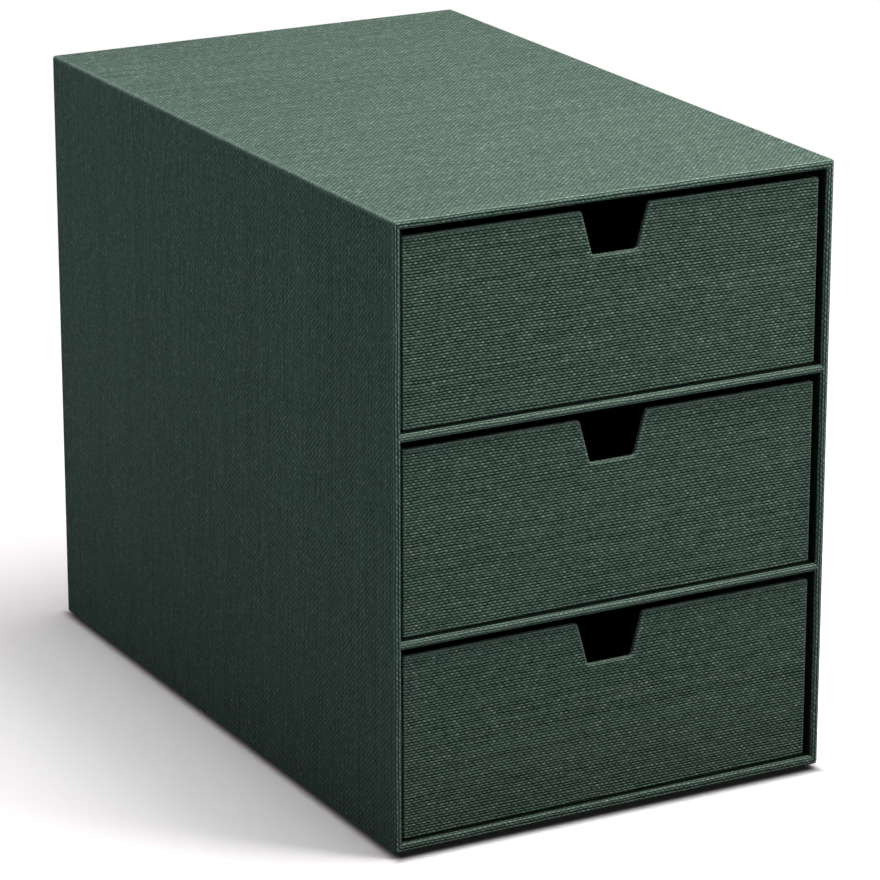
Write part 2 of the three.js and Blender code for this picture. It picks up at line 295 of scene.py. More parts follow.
# %% [markdown]
# ## Colour of the cloth
# The colour follows the weave: dark in the gaps, light on the crests, with a share for each
# thread's tone, its swell and its fibres. The dark of the gaps is painted shade, because the bump
# casts no shadow between the threads. Single crossings are flecks that catch the light. Along the
# bends a painted highlight lightens the crests, weaker on the case rim's inner edge. The crests are
# a little smoother than the gaps. Each drawer has a seed of its own, so no two have the same threads.

# %% Cloth
RELIEF = 0.55 * MM
SHADE_HEIGHTS = (0.25, 0.95)
HEIGHT_SHARE, TONE_SHARE, SWELL_SHARE, FIBRE_SHARE = 0.85, 0.1, 0.35, 0.35
FLECK_CHANCES, FLECK_HEIGHTS, FLECK_SHARE = (0.8, 1.0), (0.6, 0.9), 0.8
# Painted highlight on the bends: which heights of the crests it lightens, and its share.
HIGHLIGHT_HEIGHTS, EDGE_HIGHLIGHT_SHARE = (-0.3, 0.7), 0.25
ROUGH_HEIGHTS, GAP_ROUGHNESS, CREST_ROUGHNESS = (0.2, 1.0), 0.95, 0.78
CLOTH_GLOSS = 0.13
CLOTH_SHEEN, SHEEN_ROUGHNESS = 0.08, 0.45
CLOTH_GAP_SHADE = (0.002, 0.018, 0.012)
CLOTH_LIGHT = (0.255, 0.405, 0.330)
CLOTH_FLECK = (0.520, 0.640, 0.570)
# The pale colour of the painted highlight on the bends.
CLOTH_HIGHLIGHT = (0.440, 0.640, 0.540)
CASE_SEED, DRAWER_SEED, SEED_STEP = 0.0, 17.0, 31.0


def cloth_material(name, seed):
    """Cloth with gaps painted dark as shade, light threads, and a few beads that are flecks."""
    material, tree, shader = new_material(name)
    height, crossing, swell, fibre, tone = weave(tree, seed)
    # The height's share is painted shade: dark in the gaps, where the bump casts no shadow.
    shade = height.ramp(*SHADE_HEIGHTS) * HEIGHT_SHARE + (tone - 0.5) * TONE_SHARE
    shade = shade + swell * SWELL_SHARE + fibre * FIBRE_SHARE
    flecked = crossing.ramp(*FLECK_CHANCES) * height.ramp(*FLECK_HEIGHTS) * FLECK_SHARE
    colour = mixed(flecked, mixed(shade.held(0.0, 1.0), CLOTH_GAP_SHADE, CLOTH_LIGHT), CLOTH_FLECK)
    # Painted highlight: the crests along the bends are lightened towards a pale colour.
    bend = new_node(tree, "ShaderNodeAttribute", attribute_name="bend")
    painted_highlight = Wire(tree, bend.outputs["Fac"]) * height.ramp(*HIGHLIGHT_HEIGHTS) * EDGE_HIGHLIGHT_SHARE
    feed(tree, shader, {
        "Base Color": mixed(painted_highlight, colour, CLOTH_HIGHLIGHT),
        "Roughness": height.ramp(*ROUGH_HEIGHTS, GAP_ROUGHNESS, CREST_ROUGHNESS),
        "Specular IOR Level": CLOTH_GLOSS,
        "Sheen Weight": CLOTH_SHEEN,
        "Sheen Roughness": SHEEN_ROUGHNESS})
    raise_surface(tree, shader, height, RELIEF)
    return material


DRAWERS = sorted(body for body in frame["bodies"] if body.startswith("drawer"))
case_cloth = cloth_material("case_cloth", CASE_SEED)
drawer_cloths = [
    cloth_material(f"{body}_cloth", DRAWER_SEED + SEED_STEP * number)
    for number, body in enumerate(DRAWERS)]
print("cloths:", [case_cloth.name, *(material.name for material in drawer_cloths)])

# %% [markdown]
# ## Board, lining and pads
# The grey board never shows, but it gets its own finish all the same: pulp with darker specks. The
# lining is a thin dark paper with a fine tooth. The pads are felted and nearly black.

# %% Plain finishes
FINE_DETAIL, FINE_SHARE = 4.0, 0.55
BROAD_DETAIL, BROAD_SHARE, BROAD_RATE = 2.0, 0.3, 0.06
ROUGHNESS_SHARE = 0.06
PLAIN_GLOSS = 0.06


def plain_material(name, dark, light, grain, roughness, relief):
    """A finish whose colour drifts between two tones with a grain of the given size in metres."""
    material, tree, shader = new_material(name)
    x, y, z = (part * (1 / grain) for part in object_coordinates(tree))
    fine = noise(x, y, z, detail=FINE_DETAIL)
    broad = noise(x * BROAD_RATE, y * BROAD_RATE, z * BROAD_RATE, detail=BROAD_DETAIL)
    share = (fine * FINE_SHARE + broad * BROAD_SHARE + 0.5).held(0.0, 1.0)
    feed(tree, shader, {
        "Base Color": mixed(share, dark, light),
        "Roughness": fine * ROUGHNESS_SHARE + roughness,
        "Specular IOR Level": PLAIN_GLOSS})
    raise_surface(tree, shader, fine, relief)
    return material


finishes = {
    "board": plain_material(
        "grey_board", (0.19, 0.185, 0.17), (0.33, 0.32, 0.30), 0.6 * MM, 0.88, 0.05 * MM),
    "lining": plain_material(
        "lining_paper", (0.003, 0.007, 0.005), (0.008, 0.014, 0.012), 0.35 * MM, 0.88, 0.03 * MM),
    "pad": plain_material(
        "pad_felt", (0.008, 0.008, 0.008), (0.028, 0.028, 0.028), 0.25 * MM, 0.93, 0.12 * MM),
}
print("finishes:", sorted(finishes))

# %% [markdown]
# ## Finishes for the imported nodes
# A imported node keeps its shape, and takes a finish by the slot that the record gives it. Its mesh
# has no UV map, so its finish reads Object coordinates. The cloth nodes are left as they are,
# because the pieces below take their place.

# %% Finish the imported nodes
plain_parts = [part for part in frame["record"]["subparts"] if part["material_slot"] in finishes]
for part in plain_parts:
    materials = frame["nodes"][part["node"]].data.materials
    materials.clear()
    materials.append(finishes[part["material_slot"]])
print("finished nodes:", len(plain_parts))

# %% [markdown]
# ## Surfaces from arrays
# Each piece of cloth is a few patches. A patch is a grid of points, with the place in the cloth, in
# metres, of each point. Patches meet at equal points, which are welded. Every patch keeps its own
# UV map, so the cloth can change direction at a mitre although the points there are shared. A
# Solidify modifier then gives the cloth its thickness, inwards from the surface that is seen. Each
# point also says how much the cloth bends there, because its material paints a highlight on the
# bends.

# %% Patches
WELD = 0.002 * MM
NO_AREA = 1e-13
BEND_STEPS = 8


def quads_of(rows, columns, start):
    """The quads of a grid of rows by columns points whose first point has the index start."""
    corner = start + np.arange(rows - 1)[:, None] * columns + np.arange(columns - 1)[None, :]
    return np.stack([corner, corner + 1, corner + columns + 1, corner + columns], -1).reshape(-1, 4)


def angle_between(first, second):
    """The angle between unit vectors, which is the arc cosine of their dot product."""
    return np.nan_to_num(np.arccos(np.clip((first * second).sum(-1), -1, 1)))


def turning(points):
    """How much a patch turns at each of its points, from 0 on a flat to 1 on a bend.

    The normals of neighbouring quads are compared both ways across the patch. The largest angle
    next to a point counts, as a share of the angle between two steps of a bend.
    """
    normal = np.cross(np.diff(points, axis=1)[:-1], np.diff(points, axis=0)[:, :-1])
    size = np.linalg.norm(normal, axis=-1, keepdims=True)
    normal = normal / np.where(size > NO_AREA, size, np.nan)
    across = angle_between(normal[:-1], normal[1:])
    along = angle_between(normal[:, :-1], normal[:, 1:])
    turn = np.zeros(points.shape[:2])
    for part, angle in (
            (turn[1:-1, :-1], across), (turn[1:-1, 1:], across),
            (turn[:-1, 1:-1], along), (turn[1:, 1:-1], along)):
        np.maximum(part, angle, out=part)
    for last, before in ((0, 1), (-1, -2)):
        turn[last] = np.maximum(turn[last], turn[before])
        turn[:, last] = np.maximum(turn[:, last], turn[:, before])
    return np.clip(turn / (math.pi / 2 / BEND_STEPS), 0, 1)


def highest_where_equal(points, values):
    """Gives equal points the highest of their values."""
    places = np.round(points / WELD).astype(np.int64)
    _, same = np.unique(places, axis=0, return_inverse=True)
    highest = np.zeros(len(points))
    np.maximum.at(highest, same.ravel(), values)
    return highest[same.ravel()]


print("patches ready")

# %% Patches to a piece
CLOTH_THICKNESS = 0.55 * MM
CREASE_ANGLE = math.radians(40)


def make_piece(
        name, patches, material, body, replaces, thickness=0.0, inner=None, highlighted=None):
    """Welds patches of (points, cloth places) to one mesh that rides on a body.

    inner is a finish and a test: the faces whose centre passes the test take that finish.
    highlighted gives the share of the painted highlight that a bend has at each place.
    """
    points = np.concatenate([p.reshape(-1, 3) for p, _ in patches])
    places = np.concatenate([uv.reshape(-1, 2) for _, uv in patches])
    starts = np.cumsum([0] + [p.shape[0] * p.shape[1] for p, _ in patches[:-1]])
    quads = np.concatenate([
        quads_of(*p.shape[:2], start) for (p, _), start in zip(patches, starts)])
    mesh = bpy.data.meshes.new(name)
    mesh.from_pydata(points.tolist(), [], quads.tolist())
    uv_map = mesh.uv_layers.new(name="cloth")
    uv_map.data.foreach_set("uv", places[quads.ravel()].astype(np.float32).ravel())
    bend = highest_where_equal(points, np.concatenate([turning(p).ravel() for p, _ in patches]))
    # The painted highlight's share on each bend.
    if highlighted:
        bend *= highlighted(*points.T)
    bends = mesh.attributes.new("bend", "FLOAT", "POINT")
    bends.data.foreach_set("value", bend.astype(np.float32))
    mesh.polygons.foreach_set("use_smooth", np.ones(len(quads), bool))
    mesh.materials.append(material)
    if inner:
        finish, test = inner
        mesh.materials.append(finish)
        inside = test(*points[quads].mean(axis=1).T)
        mesh.polygons.foreach_set("material_index", inside.astype(np.int32))

    work = bmesh.new()
    work.from_mesh(mesh)
    bmesh.ops.remove_doubles(work, verts=work.verts, dist=WELD)
    work.to_mesh(mesh)
    work.free()
    mesh.set_sharp_from_angle(angle=CREASE_ANGLE)

    piece = bpy.data.objects.new(name, mesh)
    bpy.context.scene.collection.objects.link(piece)
    if thickness:
        solid = piece.modifiers.new("thickness", "SOLIDIFY")
        solid.thickness, solid.offset, solid.use_even_offset = thickness, -1.0, True
    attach(piece, body)
    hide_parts(*replaces)
    print(f"{name}: {len(mesh.vertices)} points, {len(mesh.polygons)} faces")


print("pieces ready")

# %% [markdown]
# ## A line carried round a box
# A case and a drawer are both boxes wrapped in cloth. Cut the wrap through and you see one line:
# turned over at one end, round an edge, along a wall, round the next edge and in again. Each point
# of that line has an inset from the outside of the box, and a place along the box. Carried round the
# box, a point at inset n runs along a rectangle that is n smaller all round. The outer rectangles
# have rounded corners. Further in they meet in a mitre, as folded cloth does.
#
# A bend is shaded smoothly, and that smoothing would spill over the flat next to it. So each
# straight stretch gets a short lead of half a millimetre at both ends, and only the lead takes it.
# On a very short stretch a lead is a third of it.

# %% Lines
LEAD = 0.5 * MM
LONGEST_LEAD = 1 / 3
SIDE_STEPS = 12


def arc(centre, radius, start, end):
    """Points of an arc from start to end degrees: the centre plus the radius times cosine and sine."""
    angle = np.radians(np.linspace(start, end, BEND_STEPS + 1))[:, None]
    return np.array(centre) + radius * np.concatenate([np.cos(angle), np.sin(angle)], axis=1)


def stretch(start, end, steps=1):
    """A straight run from start to end: both ends, a lead next to each, and steps between."""
    start, end = np.array(start, float), np.array(end, float)
    lead = min(LEAD / np.linalg.norm(end - start), LONGEST_LEAD)
    shares = np.concatenate([[0], np.linspace(lead, 1 - lead, steps + 1), [1]])
    return start + (end - start) * shares[:, None]


def joined(*parts):
    """One line from parts that each start where the one before ends."""
    return np.concatenate([parts[0]] + [part[1:] for part in parts[1:]])


def lengths_along(line):
    """How far along the line each of its points is."""
    return np.concatenate([[0.0], np.cumsum(np.linalg.norm(np.diff(line, axis=0), axis=1))])


def paired(u, v):
    """Cloth places from their two numbers, spread to one shape."""
    return np.stack(np.broadcast_arrays(u, v), axis=-1)


print("lines ready")

# %% A line carried round
OUTS = np.array([(-1, 0), (0, 1), (1, 0), (0, -1)], float)


def carried(lines, half, radius, place, sides=(0, 1, 2, 3)):
    """Patches of a line carried round a rounded rectangle, one for each side and each corner.

    lines has the (inset, along) points of the line at each of the four sides. A side's point lies the
    rectangle's half size less the inset out from the middle. Along the side it runs up to the half
    size less the inset there. In a corner it turns about the centre of the rounding, at the corner
    radius less the inset, and past that radius it stays on the mitre. The sides come in the order
    of OUTS, so the last one is the base of the case and the front of a drawer.
    """
    patches, start = [], 0.0
    for side, out in enumerate(OUTS):
        way = OUTS[(side + 1) % 4]
        distance, length = half if out[0] else half[::-1]
        inset, along = lines[side].T
        reach = np.maximum(inset, radius)
        low = np.maximum(lines[side - 1][:, 0], radius) - length
        high = length - np.maximum(lines[(side + 1) % 4][:, 0], radius)
        v = lengths_along(lines[side])

        if side in sides:
            between = np.linspace(0, 1, SIDE_STEPS + 1)[:, None]
            a = np.concatenate([[low], low + LEAD + (high - low - 2 * LEAD) * between, [high]])
            flat = out * (distance - inset)[:, None] + way * a[..., None]
            patches.append((place(flat, along), paired(start + a + length - radius, v)))

        turn = np.linspace(0, math.pi / 2, BEND_STEPS + 1)[:, None]
        swing = out * np.cos(turn)[..., None] + way * np.sin(turn)[..., None]
        centre = out * (distance - reach)[:, None] + way * high[:, None]
        flat = centre + (reach - inset)[:, None] * swing
        u = start + high + length - radius + radius * turn
        patches.append((place(flat, along), paired(u, v)))
        start += 2 * (length - radius) + radius * math.pi / 2
    return patches


print("sides of a box:", len(OUTS))

# %% [markdown]
# ## The case's wrap
# One sheet of cloth goes round the four long sides. At the back it is turned on to the board and
# ends there. At the front it bends round the rim and is turned into the bays. Its threads run round
# the case, so they stand upright on the sides and lie crosswise on the top. The base board is
# thicker than the other walls, so the base has a line of its own, with a wider rim. The rim bends
# into the bays a little more tightly than round its outer edge. In the bays the dark lining paper
# runs over the turned-in cloth, up to where the bend starts. The lining is real, but that it
# reaches so far forward is painted shade: it stands in for the dark in the bays' mouths, on the
# shelves in front of the drawers and on the walls beside them.

# %% Case sizes
CASE_BEND = 1.6 * MM
MOUTH_BEND = 1.4 * MM
CASE_TURN_BACK = 15 * MM
# The dark paper starts this far behind the front; so far forward it is painted shade.
PAPER_SHADE_FROM = 1.4 * MM
PAPER_SHADE_SAG = 0.2 * MM
# The rim's inner edge gets this share of the painted highlight.
INNER_HIGHLIGHT_SHARE = 0.35

case_low, case_high = (np.array(corner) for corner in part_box("case_cover"))
lining_low = np.array(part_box("case_lining")[0])
packed_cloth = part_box("case_base_board")[0][1] - case_low[1]
bay_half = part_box("shelf_under_upper_drawer_cover")[1][0]
side_wall = case_high[0] - bay_half
base_wall = lining_low[2] + packed_cloth - case_low[2]
case_middle = (case_low + case_high) / 2
case_half = (case_high - case_low) / 2
print(f"side wall {side_wall / MM:.2f} mm, base {base_wall / MM:.2f} mm")
print(f"packed cloth {packed_cloth / MM:.2f} mm thick")


# %% Case wrap
def case_line(wall):
    """The wrap's line: back flap, bend, wall, bend, rim, bend into the bay, turned-in end."""
    front, rear, bend, mouth = case_low[1], case_high[1], CASE_BEND, MOUTH_BEND
    return joined(
        stretch((CASE_TURN_BACK, rear), (bend, rear)),
        arc((bend, rear - bend), bend, 90, 180),
        stretch((0, rear - bend), (0, front + bend), SIDE_STEPS),
        arc((bend, front + bend), bend, 180, 270),
        stretch((bend, front), (wall - mouth, front)),
        arc((wall - mouth, front + mouth), mouth, 270, 360),
        stretch((wall, front + mouth), (wall, lining_low[1])))


def in_case(flat, along):
    """A point of the case: the rectangle lies in X and Z, and the line runs along Y."""
    flat, along = np.broadcast_arrays(flat, along[:, None])
    return np.stack([flat[..., 0], along[..., 0], case_middle[2] + flat[..., 1]], axis=-1)


def in_shaded_bays(x, y, z):
    """True for places on the bays' walls where the lining's paper covers the turned-in cloth."""
    # These faces take the dark paper, which paints the shade in the bays' mouths.
    deep = (y > case_low[1] + PAPER_SHADE_FROM) & (y < lining_low[1])
    low_z, high_z = case_low[2] + base_wall, case_high[2] - side_wall
    return deep & (np.abs(x) < bay_half + WELD) & (z > low_z - PAPER_SHADE_SAG) & (z < high_z + WELD)


def edge_highlight_shares(x, y, z):
    """The painted highlight's share: 1 on the outer edges, and less on the rim's inner edge."""
    inset = np.minimum(case_half[0] - np.abs(x), case_half[2] - np.abs(z - case_middle[2]))
    return np.where(inset > CASE_BEND + WELD, INNER_HIGHLIGHT_SHARE, 1.0)


case_lines = [case_line(side_wall)] * 3 + [case_line(base_wall)]
make_piece(
    "case_wrap", carried(case_lines, (case_half[0], case_half[2]), CASE_BEND, in_case),
    case_cloth, "case", ["case_cover"], CLOTH_THICKNESS, (finishes["lining"], in_shaded_bays),
    edge_highlight_shares)

# %% [markdown]
# ## The sheet on the back
# A second sheet covers the turned edges on the back. It is pressed down on the board between them,
# which leaves a faint step all round. It is the same kind of piece: a line from the step out to the
# sheet's edge, carried round a rectangle with rounded corners, and a flat middle. The sheet is flat,
# so a point's place in the cloth is simply its X and Z.

# %% Back sheet
BACK_CORNER = 2 * MM
STEP_RUN = 1.6 * MM


def middle_patch(inset, along, half, place, swapped=False):
    """The flat middle inside the rectangle at one inset, with the points of the sides' own ends."""
    first, second = (
        stretch((inset - size, 0), (size - inset, 0), SIDE_STEPS)[:, 0] for size in half[:2])
    flat = np.stack(np.meshgrid(first, second, indexing="ij"), axis=-1)
    if swapped:
        flat = flat.transpose(1, 0, 2)
    return place(flat, np.full(flat.shape[1], along)), flat


back_low, back_high = (np.array(corner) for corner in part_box("case_back_cover"))
back_half = ((back_high - back_low) / 2)[[0, 2]]
flap_end = CASE_TURN_BACK - (case_high[0] - back_high[0])
outer_y = back_high[1]
pressed_y = outer_y - packed_cloth
down = np.linspace(1, 0, BEND_STEPS + 1)
step = np.stack([
    flap_end + STEP_RUN * down, outer_y - packed_cloth * down * down * (3 - 2 * down)], axis=1)
back_line = joined(step, stretch(step[-1], (0, outer_y)))
back_patches = carried([back_line] * 4, back_half, BACK_CORNER, in_case)
back_patches.append(middle_patch(back_line[0][0], pressed_y, back_half, in_case))
make_piece(
    "case_back_sheet", [(points, points[..., [0, 2]]) for points, _ in back_patches],
    case_cloth, "case", ["case_back_cover"], CLOTH_THICKNESS)

# %% [markdown]
# ## Shelves
# A shelf is a board with cloth folded round its front edge. The fold is a line from the back of the
# top, round the nose and back below, pushed sideways. The nose is a half circle as high as the
# shelf. Its ends run on into the bend of the case's rim, so no groove is left between them.

# %% Shelf wraps
def shelf_patch(low, high):
    """The fold round a shelf: the line in Y and Z, and for X even steps from side to side."""
    front, rear, bend = low[1], high[1], (high[2] - low[2]) / 2
    line = joined(
        stretch((rear, high[2]), (front + bend, high[2]), SIDE_STEPS),
        arc((front + bend, high[2] - bend), bend, 90, 180),
        arc((front + bend, low[2] + bend), bend, 180, 270),
        stretch((front + bend, low[2]), (rear, low[2]), SIDE_STEPS))
    half = high[0] + MOUTH_BEND
    x = stretch((-half, 0), (half, 0), SIDE_STEPS)[:, :1]
    points = np.stack(np.broadcast_arrays(x, line[:, 0], line[:, 1]), axis=-1)
    return points, paired(x, lengths_along(line))


for bay in ("middle", "upper"):
    cover = f"shelf_under_{bay}_drawer_cover"
    # The shelves' tops behind the nose also take the dark paper as painted shade.
    make_piece(
        f"shelf_under_{bay}_drawer_wrap", [shelf_patch(*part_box(cover))],
        case_cloth, "case", [cover], CLOTH_THICKNESS, (finishes["lining"], in_shaded_bays))

# %% [markdown]
# ## Drawers
# A drawer is a tray in one wrap: turned under the base, up the walls, over the top edge and down
# inside. Three of its sides are the same carried line. The front has the finger notch, a trapezoid
# with a rounded corner on each side of its floor and rounded shoulders, and the cloth is turned
# through it. So the front's top edge is an outline: straight, round the shoulder, down the leaning
# side, round the corner, along the floor, and the same again. Each point of it knows the direction
# that leads out of the board, and the bend over the edge is carried along that direction.

# %% Drawer sizes
DRAWER_BEND = 1.0 * MM
NOTCH_DEPTH = 21.4 * MM
NOTCH_FLOOR_WIDTH = 23.4 * MM
NOTCH_MOUTH_WIDTH = 35.3 * MM
NOTCH_FLOOR_RADIUS = 2 * MM
NOTCH_MOUTH_RADIUS = 1.7 * MM
PLAIN_SHARE = 0.65

drawer_low, drawer_high = (np.array(corner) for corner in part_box("drawer_lower_cover"))
front_board_low, front_board_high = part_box("drawer_lower_front_board")
drawer_wall = front_board_high[1] - front_board_low[1] + 2 * packed_cloth
drawer_turn_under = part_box("drawer_lower_base_sheet")[0][0] - drawer_low[0]
drawer_turn_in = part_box("drawer_lower_lining")[1][2] - drawer_low[2]
drawer_middle = (drawer_low + drawer_high) / 2
drawer_half = (drawer_high - drawer_low) / 2
height = 2 * drawer_half[2]
print(f"drawer {2 * drawer_half[0] / MM:.1f} x {2 * drawer_half[1] / MM:.1f} x {height / MM:.1f} mm")


# %% The notched edge
def notched_edge():
    """The top edge of a drawer front from right to left, and the direction out of the board there.

    The shoulder's circle lies in the board, so the way out is away from its centre. The floor
    corner's circle lies in the notch, so the way out is towards its centre.
    """
    lean = math.atan2((NOTCH_MOUTH_WIDTH - NOTCH_FLOOR_WIDTH) / 2, NOTCH_DEPTH)
    corner_x = NOTCH_FLOOR_WIDTH / 2 + NOTCH_FLOOR_RADIUS * (math.sin(lean) - 1) / math.cos(lean)
    rise = (NOTCH_DEPTH - NOTCH_MOUTH_RADIUS) * math.sin(lean)
    shoulder_x = NOTCH_FLOOR_WIDTH / 2 + (NOTCH_MOUTH_RADIUS + rise) / math.cos(lean)
    tilt = math.degrees(lean)
    shoulder_out = arc((0, 0), 1, 90, 180 - tilt)
    corner_out = -arc((0, 0), 1, -tilt, -90)
    straight = stretch((drawer_half[0] - DRAWER_BEND, height), (shoulder_x, height), SIDE_STEPS // 2)
    edge = np.concatenate([
        straight[:-1],
        (shoulder_x, height - NOTCH_MOUTH_RADIUS) + NOTCH_MOUTH_RADIUS * shoulder_out,
        (corner_x, height - NOTCH_DEPTH + NOTCH_FLOOR_RADIUS) - NOTCH_FLOOR_RADIUS * corner_out])
    out = np.concatenate([np.tile((0.0, 1.0), (len(straight) - 1, 1)), shoulder_out, corner_out])
    mirror = np.array((-1, 1))
    return np.concatenate([edge, edge[::-1] * mirror]), np.concatenate([out, out[::-1] * mirror])


def spread_of(x):
    """How far a column of the front moves in with the mitre, from 0 near the notch to 1 at the end."""
    start, end = NOTCH_MOUTH_WIDTH, drawer_half[0] - DRAWER_BEND
    return np.sign(x) * np.clip((np.abs(x) - start) / (end - start), 0, 1)


edge, out_of_board = notched_edge()
spread = spread_of(edge[:, 0])
print("points on the notched edge:", len(edge))


# %% Drawer front
def front_points(line):
    """X and Z of the front for each point of the edge and each point of the line.

    Near the edge, a point lies the edge's distance back from it against the way out of the board.
    Further down, the rows even out from the edge's shape to level rows. At the ends of the front the
    columns move in with the mitre.
    """
    inset, z = line.T
    level_z = height * PLAIN_SHARE
    top_z = height - DRAWER_BEND - LEAD
    depth = np.minimum(height - z, height - top_z)
    mitre = np.maximum(inset, DRAWER_BEND) - DRAWER_BEND
    x = edge[:, :1] - spread[:, None] * mitre - out_of_board[:, :1] * depth
    near_z = edge[:, 1:] - out_of_board[:, 1:] * depth
    share = np.clip((z - level_z) / (top_z - level_z), 0, 1)
    return x, np.where(z < level_z, z, level_z + share * (near_z - level_z))


def drawer_parts():
    """The wrap's line in three: up the outside, over the top edge, and down the inside."""
    bend, wall, top = DRAWER_BEND, drawer_wall, height
    outside = joined(
        stretch((drawer_turn_under, 0), (bend, 0)),
        arc((bend, bend), bend, 270, 180),
        stretch((0, bend), (0, top - bend), SIDE_STEPS // 2))
    over = joined(
        arc((bend, top - bend), bend, 180, 90),
        stretch((bend, top), (wall - bend, top)),
        arc((wall - bend, top - bend), bend, 90, 0))
    inside = stretch((wall, top - bend), (wall, drawer_turn_in), SIDE_STEPS // 4)
    return outside, over, inside


def front_patches(place):
    """The front in three patches: its face and its inside keep flat cloth, and the bend between
    them takes its cloth from the edge of the face along the way out of the board.

    Up to the middle of the front the cloth has gone round two sides, the back, three corners and
    half the front.
    """
    outside, over, inside = drawer_parts()
    wide, deep = drawer_half[:2] - DRAWER_BEND
    start = 4 * deep + 2 * wide + 1.5 * math.pi * DRAWER_BEND + wide
    face_end = lengths_along(outside)[-1]
    bent = lengths_along(over)
    top_z = height - DRAWER_BEND
    patches = []
    for line, v_of in (
            (outside, lambda z: lengths_along(outside) + z - outside[:, 1]),
            (inside, lambda z: face_end + bent[-1] + top_z - z)):
        x, z = front_points(line)
        patches.append((line, x, z, start - x, v_of(z)))
    x, z = front_points(over)
    mitre = spread[:, None] * (np.maximum(over[:, 0], DRAWER_BEND) - DRAWER_BEND)
    out_x, out_z = out_of_board[:, :1], out_of_board[:, 1:]
    u = start - (edge[:, :1] - mitre - out_x * DRAWER_BEND) - out_x * bent
    v = face_end + edge[:, 1:] - out_z * DRAWER_BEND - top_z + out_z * bent
    patches.append((over, x, z, u, v))
    return [
        (place(np.stack(np.broadcast_arrays(x, line[:, 0] - drawer_half[1], z), -1)), paired(u, v))
        for line, x, z, u, v in patches]


print("line round a drawer's wall:", sum(len(part) for part in drawer_parts()), "points")


# %% Drawer wraps
def drawer_wrap(body, material):
    """The wrap of one drawer: the line round three sides and four corners, and the notched front.

    It gives back the function that takes a point of the rectangle and the line into the drawer.
    """
    low = np.array(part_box(f"{body}_cover")[0])

    def standing(points):
        return points + (0, drawer_middle[1], low[2])

    def in_drawer(flat, along):
        flat, along = np.broadcast_arrays(flat, along[:, None])
        return standing(np.stack([flat[..., 0], flat[..., 1], along[..., 0]], axis=-1))

    line = joined(*drawer_parts())
    sides = carried([line] * 4, drawer_half[:2], DRAWER_BEND, in_drawer, sides=(0, 1, 2))
    make_piece(
        f"{body}_wrap", sides + front_patches(standing), material, body,
        [f"{body}_cover"], CLOTH_THICKNESS)
    return in_drawer


print("drawers to wrap:", DRAWERS)

# %% [markdown]
# ## Lining of the drawers
# Below the turned-in cloth a drawer is lined with dark paper. Paper that is pushed into a tray never
# fills its corners, so the lining is rounded along all of them. It is the same carried line again,
# down the wall and round on to the base, with a flat middle.

# %% Drawers and their linings
LINING_FOLD = 1.4 * MM
LINING_BORDER = 4 * LINING_FOLD


def drawer_lining(body, in_drawer):
    """The paper tray inside a drawer, down from where the turned-in cloth ends."""
    low_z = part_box(f"{body}_lining")[0][2] + packed_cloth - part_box(f"{body}_cover")[0][2]
    fold, wall = LINING_FOLD, drawer_wall
    line = joined(
        stretch((wall, drawer_turn_in), (wall, low_z + fold), SIDE_STEPS // 4),
        arc((wall + fold, low_z + fold), fold, 180, 270),
        stretch((wall + fold, low_z), (wall + LINING_BORDER, low_z)))
    patches = carried([line] * 4, drawer_half[:2], wall + fold, in_drawer)
    patches.append(middle_patch(wall + LINING_BORDER, low_z, drawer_half, in_drawer, swapped=True))
    make_piece(
        f"{body}_paper", patches, finishes["lining"], body, [f"{body}_lining"],
        CLOTH_THICKNESS)


for body, material in zip(DRAWERS, drawer_cloths):
    drawer_lining(body, drawer_wrap(body, material))

# %% [markdown]
# ## Foot pads
# Four felt discs keep the case off the table. A pad is a profile turned about its axis: up from the
# middle of its underside, round the lower edge, up the side and back to the middle.

# %% Foot pads
PAD_EDGE = 0.5 * MM
PAD_STEPS = 64


def turned(profile, centre):
    """A profile of (radius, height) turned about a standing axis: x and y are radius times cosine
    and sine of the angle."""
    angle = np.linspace(2 * math.pi, 0, PAD_STEPS + 1)[:, None]
    radius, z = profile.T
    x, y = radius * np.cos(angle), radius * np.sin(angle)
    points = np.stack(np.broadcast_arrays(centre[0] + x, centre[1] + y, z), axis=-1)
    return points, paired(x, y)


for depth_name in ("front", "back"):
    for side_name in ("left", "right"):
        node = f"foot_pad_{depth_name}_{side_name}"
        low, high = (np.array(corner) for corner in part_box(node))
        radius = (high[0] - low[0]) / 2
        profile = joined(
            stretch((0, 0), (radius - PAD_EDGE, 0)),
            arc((radius - PAD_EDGE, PAD_EDGE), PAD_EDGE, -90, 0),
            stretch((radius, PAD_EDGE), (radius, high[2])),
            stretch((radius, high[2]), (0, high[2])))
        make_piece(
            f"{node}_felt", [turned(profile, (low + high) / 2)], finishes["pad"], "case",
            [node])

# %% [markdown]
# ## Floor and backdrop
# The box stands on a plain white floor that fades into a white background. The light is set for the
# box, and under it a white floor would look grey. So for the camera the floor returns more than it
# gets, which keeps its shadow, and further out it glows until it is the background's white. It
# returns a little more red, against the green that the cloth throws on it. Along the closed case's
# walls the floor's colour is darkened as painted contact shadow, and more slowly at the sides. What
# the box gets from the floor is a weaker glow that starts a little way out, so the box darkens
# downwards.

# %% Shaders
SEEN_BY = ("Is Camera Ray", "Is Glossy Ray", "Is Transmission Ray")
WHITE = (1.0, 1.0, 1.0)
BLACK = (0.0, 0.0, 0.0)


def seen(tree):
    """1 for rays that show the background: from the camera, off gloss and through glass."""
    path = new_node(tree, "ShaderNodeLightPath")
    camera_ray, glossy_ray, through_ray = (Wire(tree, path.outputs[name]) for name in SEEN_BY)
    return camera_ray.do("MAXIMUM", glossy_ray).do("MAXIMUM", through_ray)


def shader_node(tree, kind, colour, strength):
    """A shader of one colour, whose strength is a number or a wire."""
    return new_node(tree, kind, {"Color": colour, "Strength": strength}).outputs[0]


